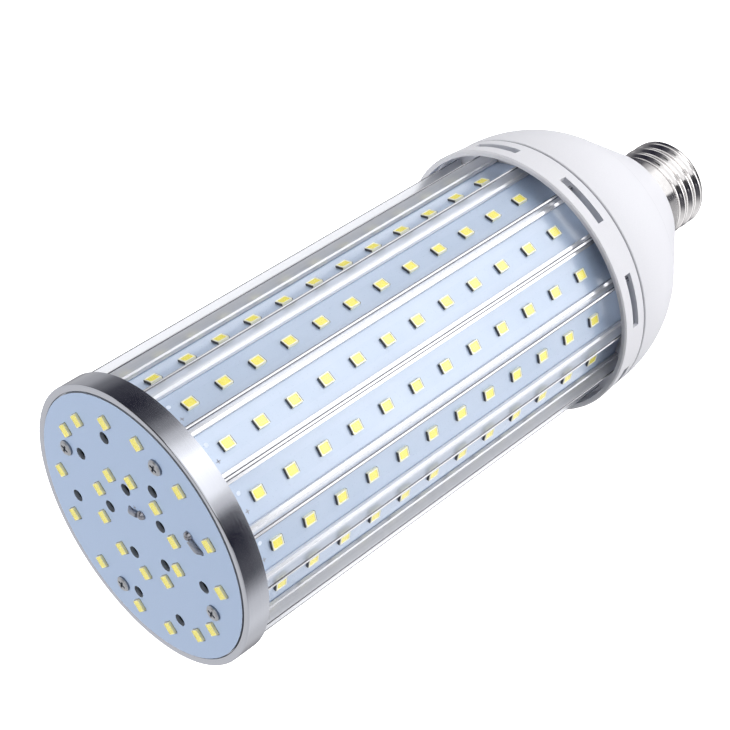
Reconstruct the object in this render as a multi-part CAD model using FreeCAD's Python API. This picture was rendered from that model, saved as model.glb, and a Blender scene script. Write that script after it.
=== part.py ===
"""Corn LED bulb: LED strips round a sixteen-sided finned heat sink, an LED disc at its head,
and a vented plastic base with its driver and an E27 screw cap.

Millimetres. +Z runs from the cap to the LED head, and the origin is on the axis,
where the cap's shell leaves the plastic neck.
"""
import FreeCAD
import Part
import math
import os

Vector = FreeCAD.Vector
Z_AXIS = Vector(0, 0, 1)
ORIGIN = Vector(0, 0, 0)

# General fits
SLIP = 0.15
HAIR = 0.05

# Plastic bowl of the base
NECK_RADIUS = 18.8
CONE_HEIGHT = 17.5
CONE_TOP_RADIUS = 31.2
CREASE_STEP = 0.25
BOWL_HEIGHT = 38.9
RIM_STEP = 0.6
BOWL_WALL = 2.2
NECK_FLOOR = 2.5
EDGE_BREAK = 0.4
SPIGOT_WALL = 2.0
SPIGOT_DEPTH = 5.0

# Slotted collar on the bowl
COLLAR_HEIGHT = 8.6
COLLAR_WALL = 1.4
SINK_CLEARANCE = 0.9
FLANGE_RISE = 1.6
FLANGE_THICK = 2.1
FLANGE_LEDGE = 2.0
SKIRT_WALL = 1.6
SKIRT_DEPTH = 4.4
SLOT_COUNT = 8
SLOT_ARC = 22.5
SLOT_HEIGHT = 2.3
SLOT_LIFT = 1.4
SLOT_TURN = -7.7

# Screw cap, size E27
SHELL_RADIUS = 13.1
SHELL_WALL = 0.6
SHELL_LENGTH = 21.2
SHELL_END_ROUND = 1.6
SHELL_MOUTH_RADIUS = 8.6
INSULATOR_TIP_RADIUS = 5.6
INSULATOR_DROP = 3.1
INSULATOR_FLANGE = 2.4
CONTACT_RADIUS = 4.6
CONTACT_THICK = 1.7
CONTACT_DOME = 0.7
CONTACT_STEM_RADIUS = 1.1
CONTACT_STEM_LENGTH = 4.0

# Extruded heat sink
SIDES = 16
SINK_LENGTH = 129.8
SEAT_APOTHEM = 31.05
SINK_WALL = 2.05
FIN_THICK = 1.0
FIN_RISE = 3.2
FIN_TIP_CROWN = 0.25
LIP_OVERHANG = 0.85
LIP_THICK = 0.8
PORT_COUNT = 4
PORT_INSET = 2.5
PORT_RADIUS = 3.2
PORT_HOLE_RADIUS = 1.45

# LED strips and the LEDs on them
BOARD_THICK = 1.0
STRIP_END_GAP = 0.2
LED_PITCH = 10.0
FIRST_LED = 7.8
LED_LONG = 3.5
LED_WIDE = 2.8
LED_TALL = 0.7

# Metal ring and LED disc at the head
RING_OVERHANG = 0.7
RING_HEIGHT = 6.2
RING_LIP_WIDE = 1.9
RING_LEDGE_WIDE = 4.0
RING_LEDGE_HEIGHT = 5.2
RING_BEVEL = 0.7
RING_LIP_BREAK = 0.2
DISC_THICK = 1.0
DISC_TURN = 64.0
VENT_RADIUS = 1.6
OUTER_VENT_INSETS = (2.8, 4.4, 2.5, 2.6, 1.7, 4.2, 9.1)
OUTER_VENT_ANGLES = (-111.3, -72.5, -30.9, 37.8, 74.5, 128.1, -156.9)
INNER_VENT_CIRCLE = 10.4
INNER_VENT_COUNT = 5
INNER_VENT_START = 29.0
OUTER_LED_INSET = 2.6
OUTER_LED_HALF_TURN = (9.7, 39.2, 62.4, 87.0, 103.9, 136.4, 162.5)
INNER_LED_CIRCLE = 14.0
INNER_LED_COUNT = 10
INNER_LED_START = 13.2

# Screws
SCREW_HEAD_RADIUS = 2.0
SCREW_HEAD_TALL = 0.8
SCREW_HEAD_CROWN = 0.35
SCREW_RECESS_LONG = 2.3
SCREW_RECESS_WIDE = 0.6
SCREW_RECESS_DEEP = 0.5
HEAD_SCREW_LENGTH = 14.0
COLLAR_SCREW_LENGTH = 12.0
DRIVER_SCREW_LENGTH = 8.0

# Leads and solder
LEAD_RADIUS = 0.6
LEAD_BEND = 1.2
LEAD_HOLE_RADIUS = 0.9
LEAD_LIFT = 0.75
SOLDER_SIDE = 2.0
SOLDER_TALL = 1.25
PLUS_HOLE_RADIUS = 5.12
PLUS_HOLE_ANGLE = -107.0
PLUS_PAD_RADIUS = 5.68
PLUS_PAD_ANGLE = -151.6
MINUS_HOLE_INSET = 4.75
MINUS_HOLE_ANGLE = 156.0
MINUS_PAD_INSET = 7.13
MINUS_PAD_ANGLE = 166.0
NEUTRAL_OFFSET = 8.5
NEUTRAL_DROP = 0.9

# Driver in the base
DRIVER_HEIGHT = 25.0
DRIVER_RADIUS = 26.0
DRIVER_THICK = 1.6
BOSS_COUNT = 4
BOSS_CIRCLE_RADIUS = 23.0
BOSS_START = 67.5
BOSS_RADIUS = 3.5
BOSS_HOLE_RADIUS = 1.5
BULK_RADIUS = 8.0
BULK_TALL = 25.0
BULK_PLACE = (-8.5, 7.5)
OUTPUT_RADIUS = 5.0
OUTPUT_TALL = 16.0
OUTPUT_PLACE = (-10.5, -9.5)
CAN_CROWN = 0.8
CORE_SIZE = (15.0, 12.0, 11.0)
CORE_PLACE = (8.5, -11.5)
CORE_LEG = 3.0
WINDING_GAP = 0.4
RECTIFIER_SIZE = (15.0, 3.6, 11.0)
RECTIFIER_PLACE = (6.0, 14.0)
SWITCH_SIZE = (4.5, 10.0, 15.0)
SWITCH_PLACE = (17.0, 4.0)

# Worked out from the sizes above
HALF_SIDE = 180.0 / SIDES
FIN_HALF = FIN_THICK / 2
BOARD_TOP = SEAT_APOTHEM + BOARD_THICK
LIP_UNDER = BOARD_TOP + SLIP
LIP_TOP = LIP_UNDER + LIP_THICK
FIN_TIP_RADIUS = LIP_TOP + FIN_RISE
SINK_BORE_RADIUS = SEAT_APOTHEM - SINK_WALL
PORT_CIRCLE_RADIUS = SINK_BORE_RADIUS - PORT_INSET
FLANGE_BORE_RADIUS = PORT_CIRCLE_RADIUS - FLANGE_LEDGE
COLLAR_RADIUS = FIN_TIP_RADIUS + SINK_CLEARANCE + COLLAR_WALL
BOWL_RIM_RADIUS = COLLAR_RADIUS - RIM_STEP
RING_RADIUS = FIN_TIP_RADIUS + RING_OVERHANG
RING_LIP_RADIUS = RING_RADIUS - RING_LIP_WIDE
RING_LEDGE_RADIUS = RING_LIP_RADIUS - RING_LEDGE_WIDE
OUTER_VENT_RADII = [PORT_CIRCLE_RADIUS - inset for inset in OUTER_VENT_INSETS]
OUTER_LED_CIRCLE = RING_LEDGE_RADIUS - OUTER_LED_INSET
PLUS_HOLE = (PLUS_HOLE_RADIUS, PLUS_HOLE_ANGLE)
PLUS_PAD = (PLUS_PAD_RADIUS, PLUS_PAD_ANGLE)
MINUS_HOLE = (OUTER_LED_CIRCLE - MINUS_HOLE_INSET, MINUS_HOLE_ANGLE)
MINUS_PAD = (OUTER_LED_CIRCLE - MINUS_PAD_INSET, MINUS_PAD_ANGLE)
FLANGE_TOP = BOWL_HEIGHT + FLANGE_RISE
SINK_TOP = FLANGE_TOP + SINK_LENGTH
LED_ROW_FOOT = COLLAR_HEIGHT - FLANGE_RISE + LED_LONG
LEDS_PER_STRIP = 1 + int((SINK_LENGTH - FIRST_LED - LED_ROW_FOOT) / LED_PITCH)
LEDGE_TOP = SINK_TOP + RING_LEDGE_HEIGHT
DISC_TOP = LEDGE_TOP + DISC_THICK
RING_TOP = SINK_TOP + RING_HEIGHT
SPIGOT_RADIUS = SHELL_RADIUS - SHELL_WALL - HAIR
WIRE_WAY_RADIUS = SPIGOT_RADIUS - SPIGOT_WALL
SHANK_RADIUS = PORT_HOLE_RADIUS - HAIR
SHANK_HOLE_RADIUS = PORT_HOLE_RADIUS + SLIP
INSULATOR_BOTTOM = -SHELL_LENGTH - INSULATOR_DROP
DRIVER_TOP = DRIVER_HEIGHT + DRIVER_THICK
LIVE_HOLE_RADIUS = max(LEAD_RADIUS, CONTACT_STEM_RADIUS) + HAIR


def polar(radius, degrees, z=0.0):
    """Point at a radius and angle about the bulb's axis."""
    turn = math.radians(degrees)
    return Vector(radius * math.cos(turn), radius * math.sin(turn), z)


def ring_angles(count, start=0.0):
    """Evenly spaced angles of a full circle."""
    return [start + 360.0 * index / count for index in range(count)]


def disc_point(spot, z=0.0):
    """Point on the LED disc, from its (radius, angle) about the disc's own x axis."""
    return polar(spot[0], spot[1] + DISC_TURN, z)


def cylinder(radius, height, centre):
    """Upright cylinder on a centre point."""
    return Part.makeCylinder(radius, height, centre, Z_AXIS)


def block(size, place, z):
    """Upright block, centred on a place, with its foot at z."""
    corner = Vector(place[0] - size[0] / 2, place[1] - size[1] / 2, z)
    return Part.makeBox(size[0], size[1], size[2], corner)


def edges_between(points):
    """Straight edges through (radius, z) points."""
    spots = [Vector(radius, 0, z) for radius, z in points]
    return [Part.makeLine(a, b) for a, b in zip(spots, spots[1:])]


def arc_edge(start, middle, end):
    """Arc through three (radius, z) points."""
    spots = [Vector(radius, 0, z) for radius, z in (start, middle, end)]
    return Part.Arc(*spots).toShape()


def turned(edges):
    """Solid of revolution from a closed profile of edges."""
    face = Part.Face(Part.Wire(Part.__sortEdges__(edges)))
    return face.revolve(ORIGIN, Z_AXIS, 360)


def turned_polygon(points):
    """Solid of revolution from (radius, z) corners."""
    return turned(edges_between(list(points) + [points[0]]))


def sector_block(inner, outer, low, high, middle, arc):
    """Block between two radii and two heights, over an arc about the axis."""
    corners = [(inner, low), (outer, low), (outer, high), (inner, high), (inner, low)]
    face = Part.Face(Part.Wire(edges_between(corners)))
    solid = face.revolve(ORIGIN, Z_AXIS, arc)
    solid.rotate(ORIGIN, Z_AXIS, middle - arc / 2)
    return solid


def fin_frame(fin_angle, radial, tangent):
    """Point beside a fin, along it and across it."""
    return polar(radial, fin_angle) + polar(tangent, fin_angle + 90.0)


def facet_level(level, tangent):
    """Distance along a fin where the next flat's level meets an offset from the fin's middle."""
    turn = math.radians(HALF_SIDE)
    return (level - tangent * math.sin(turn)) / math.cos(turn)


def fin_side_points():
    """(along, across) corners of one side of a fin, from the seat of the board to the tip."""
    lip_edge = FIN_HALF + LIP_OVERHANG
    return [
        (facet_level(SEAT_APOTHEM, FIN_HALF), FIN_HALF),
        (facet_level(LIP_UNDER, FIN_HALF), FIN_HALF),
        (facet_level(LIP_UNDER, lip_edge), lip_edge),
        (facet_level(LIP_TOP, lip_edge), lip_edge),
        (facet_level(LIP_TOP, FIN_HALF), FIN_HALF),
        (FIN_TIP_RADIUS - FIN_TIP_CROWN, FIN_HALF),
    ]


def sink_outline():
    """Closed outline of the heat sink: flats, board lips and crowned fins."""
    side = fin_side_points()
    edges = []
    previous = None
    first = None
    for fin_angle in ring_angles(SIDES):
        rising = [fin_frame(fin_angle, along, -across) for along, across in side]
        falling = [fin_frame(fin_angle, along, across) for along, across in reversed(side)]
        if previous:
            edges.append(Part.makeLine(previous, rising[0]))
        first = first or rising[0]
        edges += [Part.makeLine(a, b) for a, b in zip(rising, rising[1:])]
        edges.append(Part.Arc(rising[-1], fin_frame(fin_angle, FIN_TIP_RADIUS, 0), falling[0]).toShape())
        edges += [Part.makeLine(a, b) for a, b in zip(falling, falling[1:])]
        previous = falling[-1]
    edges.append(Part.makeLine(previous, first))
    return Part.Wire(edges)


def heat_sink():
    """Extrusion with a hollow core and four screw ports in line with fins."""
    blank = Part.Face(sink_outline()).extrude(Vector(0, 0, SINK_LENGTH))
    ports = [polar(PORT_CIRCLE_RADIUS, angle) for angle in ring_angles(PORT_COUNT)]
    sink = blank.cut(cylinder(SINK_BORE_RADIUS, SINK_LENGTH, ORIGIN))
    sink = sink.fuse([cylinder(PORT_RADIUS, SINK_LENGTH, spot) for spot in ports]).removeSplitter()
    sink = sink.cut([cylinder(PORT_HOLE_RADIUS, SINK_LENGTH, spot) for spot in ports])
    sink.translate(Vector(0, 0, FLANGE_TOP))
    return sink


def on_flat(solid, flat):
    """Turns a solid that was made facing +X onto one of the flats."""
    solid.rotate(ORIGIN, Z_AXIS, HALF_SIDE + flat * 2 * HALF_SIDE)
    return solid


def strip_width():
    """Width of a strip that slips between two fins."""
    half = SEAT_APOTHEM * math.tan(math.radians(HALF_SIDE)) - FIN_HALF / math.cos(math.radians(HALF_SIDE))
    return 2 * (half - HAIR)


def led_strip(flat):
    """Bare LED board on a flat, from the collar's flange to the head ring."""
    width = strip_width()
    corner = Vector(SEAT_APOTHEM, -width / 2, FLANGE_TOP + STRIP_END_GAP)
    return on_flat(Part.makeBox(BOARD_THICK, width, SINK_LENGTH - 2 * STRIP_END_GAP, corner), flat)


def strip_leds(flat):
    """Row of LED packages on one strip."""
    leds = []
    for index in range(LEDS_PER_STRIP):
        centre = SINK_TOP - FIRST_LED - index * LED_PITCH
        corner = Vector(BOARD_TOP, -LED_WIDE / 2, centre - LED_LONG / 2)
        leds.append(on_flat(Part.makeBox(LED_TALL, LED_WIDE, LED_LONG, corner), flat))
    return Part.makeCompound(leds)


def head_ring():
    """Turned ring with a rebate for the LED disc."""
    return turned_polygon([
        (RING_LEDGE_RADIUS, SINK_TOP),
        (RING_RADIUS, SINK_TOP),
        (RING_RADIUS, RING_TOP - RING_BEVEL),
        (RING_RADIUS - RING_BEVEL, RING_TOP),
        (RING_LIP_RADIUS + RING_LIP_BREAK, RING_TOP),
        (RING_LIP_RADIUS, RING_TOP - RING_LIP_BREAK),
        (RING_LIP_RADIUS, LEDGE_TOP),
        (RING_LEDGE_RADIUS, LEDGE_TOP),
    ])


def disc_holes():
    """Vents, screw holes and lead holes of the LED disc, as (radius, centre)."""
    holes = []
    for spot in zip(OUTER_VENT_RADII, OUTER_VENT_ANGLES):
        holes.append((VENT_RADIUS, disc_point(spot, LEDGE_TOP)))
    for angle in ring_angles(INNER_VENT_COUNT, INNER_VENT_START + DISC_TURN):
        holes.append((VENT_RADIUS, polar(INNER_VENT_CIRCLE, angle, LEDGE_TOP)))
    for angle in ring_angles(PORT_COUNT):
        holes.append((SHANK_HOLE_RADIUS, polar(PORT_CIRCLE_RADIUS, angle, LEDGE_TOP)))
    for spot in (PLUS_HOLE, MINUS_HOLE):
        holes.append((LEAD_HOLE_RADIUS, disc_point(spot, LEDGE_TOP)))
    return holes


def head_board():
    """Round LED board in the ring's rebate."""
    board = cylinder(RING_LIP_RADIUS - SLIP, DISC_THICK, Vector(0, 0, LEDGE_TOP))
    cutters = [cylinder(radius, DISC_THICK, centre) for radius, centre in disc_holes()]
    return board.cut(Part.makeCompound(cutters))


def head_led_spots():
    """Centres of the LEDs on the disc, along the disc's own axes."""
    angles = [angle + half for half in (0, 180) for angle in OUTER_LED_HALF_TURN]
    spots = [polar(OUTER_LED_CIRCLE, angle) for angle in angles]
    return spots + [polar(INNER_LED_CIRCLE, angle) for angle in ring_angles(INNER_LED_COUNT, INNER_LED_START)]


def head_leds():
    """LED packages of the disc, all lying the same way."""
    leds = []
    for spot in head_led_spots():
        led = block((LED_LONG, LED_WIDE, LED_TALL), (spot.x, spot.y), DISC_TOP)
        led.rotate(ORIGIN, Z_AXIS, DISC_TURN)
        leds.append(led)
    return Part.makeCompound(leds)


def screw(length):
    """Pan-head screw with a cross recess, its head standing on z = 0."""
    crown_radius = SCREW_HEAD_RADIUS - SCREW_HEAD_CROWN
    body = turned_polygon([
        (0, -length),
        (SHANK_RADIUS, -length),
        (SHANK_RADIUS, 0),
        (SCREW_HEAD_RADIUS, 0),
        (SCREW_HEAD_RADIUS, SCREW_HEAD_TALL - SCREW_HEAD_CROWN),
        (crown_radius, SCREW_HEAD_TALL),
        (0, SCREW_HEAD_TALL),
    ])
    floor = SCREW_HEAD_TALL - SCREW_RECESS_DEEP
    across = block((SCREW_RECESS_LONG, SCREW_RECESS_WIDE, SCREW_RECESS_DEEP), (0, 0), floor)
    along = block((SCREW_RECESS_WIDE, SCREW_RECESS_LONG, SCREW_RECESS_DEEP), (0, 0), floor)
    return body.cut(across.fuse(along))


def placed_screws(length, circle, angles, z, upside_down=False):
    """Group of like screws on a circle."""
    screws = []
    for angle in angles:
        piece = screw(length)
        if upside_down:
            piece.rotate(ORIGIN, Vector(1, 0, 0), 180)
        piece.rotate(ORIGIN, Z_AXIS, angle)
        piece.translate(polar(circle, angle, z))
        screws.append(piece)
    return Part.makeCompound(screws)


def head_screws():
    """Screws that hold the LED disc and its ring to the heat sink."""
    return placed_screws(HEAD_SCREW_LENGTH, PORT_CIRCLE_RADIUS, ring_angles(PORT_COUNT), DISC_TOP)


def collar_screws():
    """Screws that hold the heat sink on the collar's flange, from below."""
    under = FLANGE_TOP - FLANGE_THICK
    return placed_screws(COLLAR_SCREW_LENGTH, PORT_CIRCLE_RADIUS, ring_angles(PORT_COUNT), under, True)


def bent_lead(foot, hole, pad):
    """Round lead that rises from the driver, turns over on the disc and ends at its solder."""
    top = DISC_TOP + LEAD_LIFT
    rise = Vector(hole.x, hole.y, top)
    run = Vector(pad.x - hole.x, pad.y - hole.y, 0)
    along = Vector(run).normalize()
    bend_start = rise - Z_AXIS * LEAD_BEND
    bend_end = rise + along * LEAD_BEND
    diagonal = LEAD_BEND * (1 - math.sqrt(0.5))
    bend_middle = rise + (along - Z_AXIS) * diagonal
    end = rise + along * (run.Length - SOLDER_SIDE / 2)
    path = Part.Wire([
        Part.makeLine(foot, bend_start),
        Part.Arc(bend_start, bend_middle, bend_end).toShape(),
        Part.makeLine(bend_end, end),
    ])
    section = Part.Wire(Part.makeCircle(LEAD_RADIUS, foot, Z_AXIS))
    return path.makePipeShell([section], True, False)


def head_lead(hole, pad):
    """Output lead from the driver board to one solder pad of the LED disc."""
    hole_point = disc_point(hole)
    pad_point = disc_point(pad)
    foot = Vector(hole_point.x, hole_point.y, DRIVER_TOP)
    return bent_lead(foot, hole_point, pad_point)


def solder_joint(hole, pad):
    """Block of solder with broken top edges, turned to face its lead."""
    joint = block((SOLDER_SIDE, SOLDER_SIDE, SOLDER_TALL), (0, 0), DISC_TOP)
    top_edges = [edge for edge in joint.Edges if edge.BoundBox.ZMin > DISC_TOP + HAIR]
    joint = joint.makeChamfer(EDGE_BREAK / 2, top_edges)
    hole_point = disc_point(hole)
    pad_point = disc_point(pad)
    facing = math.degrees(math.atan2(pad_point.y - hole_point.y, pad_point.x - hole_point.x))
    joint.rotate(ORIGIN, Z_AXIS, facing)
    joint.translate(pad_point)
    return joint


def head_solder():
    """The two solder joints on the disc."""
    return Part.makeCompound([solder_joint(PLUS_HOLE, PLUS_PAD), solder_joint(MINUS_HOLE, MINUS_PAD)])


def bowl_arc_centre():
    """Centre radius and sweep radius of the bowl's side, upright at its rim."""
    reach = BOWL_RIM_RADIUS - CONE_TOP_RADIUS
    drop = BOWL_HEIGHT - CONE_HEIGHT
    sweep = (reach ** 2 + drop ** 2) / (2 * reach)
    return BOWL_RIM_RADIUS - sweep, sweep


def bowl_side(inset, low):
    """Three points of the bowl's curved side, set in from the outside, from low up to the rim."""
    centre, sweep = bowl_arc_centre()
    middle = (low + BOWL_HEIGHT) / 2
    heights = (low, middle, BOWL_HEIGHT)
    radius = sweep - inset
    return [(centre + math.sqrt(radius ** 2 - (BOWL_HEIGHT - z) ** 2), z) for z in heights]


def bowl_outside():
    """Profile edges of the bowl's outside, from the neck's end to the rim's edge."""
    crease = CONE_TOP_RADIUS - CREASE_STEP
    low, middle, high = bowl_side(0, CONE_HEIGHT)
    edge_low = (high[0], high[1] - EDGE_BREAK)
    cone = edges_between([
        (NECK_RADIUS - EDGE_BREAK, 0),
        (NECK_RADIUS, EDGE_BREAK),
        (crease, CONE_HEIGHT - CREASE_STEP),
        low,
    ])
    rim = edges_between([edge_low, (high[0] - EDGE_BREAK, high[1])])
    return cone + [arc_edge(low, middle, edge_low)] + rim


def bowl_blank():
    """Bowl without its hollow, for trimming what stands inside it."""
    rim = BOWL_RIM_RADIUS - EDGE_BREAK
    rest = edges_between([(rim, BOWL_HEIGHT), (0, BOWL_HEIGHT), (0, 0), (NECK_RADIUS - EDGE_BREAK, 0)])
    return turned(bowl_outside() + rest)


def bowl_hollow():
    """Space inside the bowl, above the neck's floor."""
    slope = (CONE_TOP_RADIUS - NECK_RADIUS) / CONE_HEIGHT
    low, middle, high = bowl_side(BOWL_WALL, CONE_HEIGHT)
    floor_radius = low[0] - slope * (CONE_HEIGHT - NECK_FLOOR)
    sides = edges_between([(0, high[1]), (0, NECK_FLOOR), (floor_radius, NECK_FLOOR), low])
    mouth = edges_between([high, (0, high[1])])
    return turned(sides + [arc_edge(low, middle, high)] + mouth)


def base_bowl():
    """Plastic bowl with its neck, the cap's spigot and bosses for the driver."""
    blank = bowl_blank()
    bowl = blank.cut(bowl_hollow())
    for angle in ring_angles(BOSS_COUNT, BOSS_START):
        boss = cylinder(BOSS_RADIUS, DRIVER_HEIGHT, polar(BOSS_CIRCLE_RADIUS, angle))
        bowl = bowl.fuse(boss.common(blank))
    bowl = bowl.fuse(cylinder(SPIGOT_RADIUS, SPIGOT_DEPTH, Vector(0, 0, -SPIGOT_DEPTH)))
    wire_way = cylinder(WIRE_WAY_RADIUS, SPIGOT_DEPTH + NECK_FLOOR, Vector(0, 0, -SPIGOT_DEPTH))
    bowl = bowl.cut(wire_way)
    for angle in ring_angles(BOSS_COUNT, BOSS_START):
        foot = polar(BOSS_CIRCLE_RADIUS, angle, DRIVER_HEIGHT - DRIVER_SCREW_LENGTH)
        bowl = bowl.cut(cylinder(BOSS_HOLE_RADIUS, DRIVER_SCREW_LENGTH, foot))
    return bowl.removeSplitter()


def base_collar():
    """Slotted collar that plugs into the bowl and carries the heat sink on its flange."""
    inside = COLLAR_RADIUS - COLLAR_WALL
    skirt = bowl_side(BOWL_WALL, BOWL_HEIGHT - SKIRT_DEPTH)[0][0] - SLIP
    flange_under = FLANGE_TOP - FLANGE_THICK
    top = BOWL_HEIGHT + COLLAR_HEIGHT
    collar = turned_polygon([
        (COLLAR_RADIUS - EDGE_BREAK, top),
        (inside, top),
        (inside, FLANGE_TOP),
        (FLANGE_BORE_RADIUS, FLANGE_TOP),
        (FLANGE_BORE_RADIUS, flange_under),
        (skirt - SKIRT_WALL, flange_under),
        (skirt - SKIRT_WALL, BOWL_HEIGHT - SKIRT_DEPTH),
        (skirt, BOWL_HEIGHT - SKIRT_DEPTH),
        (skirt, BOWL_HEIGHT),
        (BOWL_RIM_RADIUS - EDGE_BREAK, BOWL_HEIGHT),
        (BOWL_RIM_RADIUS, BOWL_HEIGHT + EDGE_BREAK),
        (COLLAR_RADIUS, top - EDGE_BREAK),
    ])
    slot_low = FLANGE_TOP + SLOT_LIFT
    for angle in ring_angles(SLOT_COUNT, SLOT_TURN):
        reach = (inside - SLIP, COLLAR_RADIUS + SLIP)
        collar = collar.cut(sector_block(*reach, slot_low, slot_low + SLOT_HEIGHT, angle, SLOT_ARC))
    for angle in ring_angles(PORT_COUNT):
        spot = polar(PORT_CIRCLE_RADIUS, angle, flange_under)
        collar = collar.cut(cylinder(SHANK_HOLE_RADIUS, FLANGE_THICK, spot))
    return collar


def screw_shell():
    """Plated shell of the cap at its thread's full width, turned in at its end."""
    inner = SHELL_RADIUS - SHELL_WALL
    inner_round = SHELL_END_ROUND - SHELL_WALL
    lean = math.sqrt(0.5)
    centre_radius = SHELL_RADIUS - SHELL_END_ROUND
    centre_z = SHELL_END_ROUND - SHELL_LENGTH
    outer_arc = arc_edge(
        (SHELL_RADIUS, centre_z),
        (centre_radius + SHELL_END_ROUND * lean, centre_z - SHELL_END_ROUND * lean),
        (centre_radius, -SHELL_LENGTH),
    )
    inner_arc = arc_edge(
        (inner, centre_z),
        (centre_radius + inner_round * lean, centre_z - inner_round * lean),
        (centre_radius, SHELL_WALL - SHELL_LENGTH),
    )
    wall = edges_between([(inner, centre_z), (inner, 0), (SHELL_RADIUS, 0), (SHELL_RADIUS, centre_z)])
    end = edges_between([
        (centre_radius, -SHELL_LENGTH),
        (SHELL_MOUTH_RADIUS, -SHELL_LENGTH),
        (SHELL_MOUTH_RADIUS, SHELL_WALL - SHELL_LENGTH),
        (centre_radius, SHELL_WALL - SHELL_LENGTH),
    ])
    return turned(wall + [outer_arc] + end + [inner_arc])


def cap_insulator():
    """Insulator between the shell and the centre contact, flanged inside the shell."""
    flange_radius = SHELL_RADIUS - SHELL_END_ROUND
    flange_low = SHELL_WALL - SHELL_LENGTH
    return turned_polygon([
        (LIVE_HOLE_RADIUS, INSULATOR_BOTTOM),
        (INSULATOR_TIP_RADIUS, INSULATOR_BOTTOM),
        (SHELL_MOUTH_RADIUS - HAIR, -SHELL_LENGTH),
        (SHELL_MOUTH_RADIUS - HAIR, flange_low),
        (flange_radius, flange_low),
        (flange_radius, flange_low + INSULATOR_FLANGE),
        (LIVE_HOLE_RADIUS, flange_low + INSULATOR_FLANGE),
    ])


def centre_contact():
    """Domed contact on the insulator's end, with its stem."""
    bottom = INSULATOR_BOTTOM - CONTACT_THICK
    return turned_polygon([
        (0, bottom),
        (CONTACT_RADIUS - CONTACT_DOME, bottom),
        (CONTACT_RADIUS, bottom + CONTACT_DOME),
        (CONTACT_RADIUS, INSULATOR_BOTTOM),
        (CONTACT_STEM_RADIUS, INSULATOR_BOTTOM),
        (CONTACT_STEM_RADIUS, INSULATOR_BOTTOM + CONTACT_STEM_LENGTH),
        (0, INSULATOR_BOTTOM + CONTACT_STEM_LENGTH),
    ])


def live_lead():
    """Straight lead from the centre contact's stem to the driver board."""
    foot = INSULATOR_BOTTOM + CONTACT_STEM_LENGTH
    return cylinder(LEAD_RADIUS, DRIVER_HEIGHT - foot, Vector(0, 0, foot))


def neutral_lead():
    """Lead from the driver board down the neck and out to the shell's wall."""
    turn_z = -SPIGOT_DEPTH - NEUTRAL_DROP
    top = Vector(NEUTRAL_OFFSET, 0, DRIVER_HEIGHT)
    bend_start = Vector(NEUTRAL_OFFSET, 0, turn_z + LEAD_BEND)
    bend_end = Vector(NEUTRAL_OFFSET + LEAD_BEND, 0, turn_z)
    diagonal = LEAD_BEND * (1 - math.sqrt(0.5))
    bend_middle = Vector(NEUTRAL_OFFSET + diagonal, 0, turn_z + diagonal)
    end = Vector(SHELL_RADIUS - SHELL_WALL - HAIR, 0, turn_z)
    path = Part.Wire([
        Part.makeLine(top, bend_start),
        Part.Arc(bend_start, bend_middle, bend_end).toShape(),
        Part.makeLine(bend_end, end),
    ])
    section = Part.Wire(Part.makeCircle(LEAD_RADIUS, top, Z_AXIS))
    return path.makePipeShell([section], True, False)


def driver_board():
    """Round circuit board on the bowl's bosses."""
    board = cylinder(DRIVER_RADIUS, DRIVER_THICK, Vector(0, 0, DRIVER_HEIGHT))
    for angle in ring_angles(BOSS_COUNT, BOSS_START):
        spot = polar(BOSS_CIRCLE_RADIUS, angle, DRIVER_HEIGHT)
        board = board.cut(cylinder(BOSS_HOLE_RADIUS + SLIP, DRIVER_THICK, spot))
    return board


def driver_screws():
    """Screws that hold the driver board on the bosses."""
    angles = ring_angles(BOSS_COUNT, BOSS_START)
    return placed_screws(DRIVER_SCREW_LENGTH, BOSS_CIRCLE_RADIUS, angles, DRIVER_TOP)


def capacitor(radius, tall, place):
    """Round can with a broken top edge, standing on the driver board."""
    can = cylinder(radius, tall, Vector(place[0], place[1], DRIVER_TOP))
    top_edges = [edge for edge in can.Edges if edge.BoundBox.ZMin > DRIVER_TOP + tall / 2]
    return can.makeChamfer(CAN_CROWN, top_edges)


def transformer_core():
    """Ferrite core: a frame that stands on the driver board, with a middle leg."""
    core = block(CORE_SIZE, CORE_PLACE, DRIVER_TOP)
    window = (CORE_SIZE[0] - 3 * CORE_LEG) / 2
    shift = (CORE_LEG + window) / 2
    tall = CORE_SIZE[2] - 2 * CORE_LEG
    for side in (-1, 1):
        place = (CORE_PLACE[0] + side * shift, CORE_PLACE[1])
        core = core.cut(block((window, CORE_SIZE[1], tall), place, DRIVER_TOP + CORE_LEG))
    return core


def transformer_winding():
    """Taped winding round the core's middle leg."""
    window = (CORE_SIZE[0] - 3 * CORE_LEG) / 2
    wide = CORE_LEG + 2 * (window - WINDING_GAP)
    deep = CORE_SIZE[1] + 2 * (window - WINDING_GAP)
    tall = CORE_SIZE[2] - 2 * CORE_LEG - 2 * HAIR
    foot = DRIVER_TOP + CORE_LEG + HAIR
    coil = block((wide, deep, tall), CORE_PLACE, foot)
    return coil.cut(block((CORE_LEG + 2 * HAIR, CORE_SIZE[1] + 2 * HAIR, tall), CORE_PLACE, foot))


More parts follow.
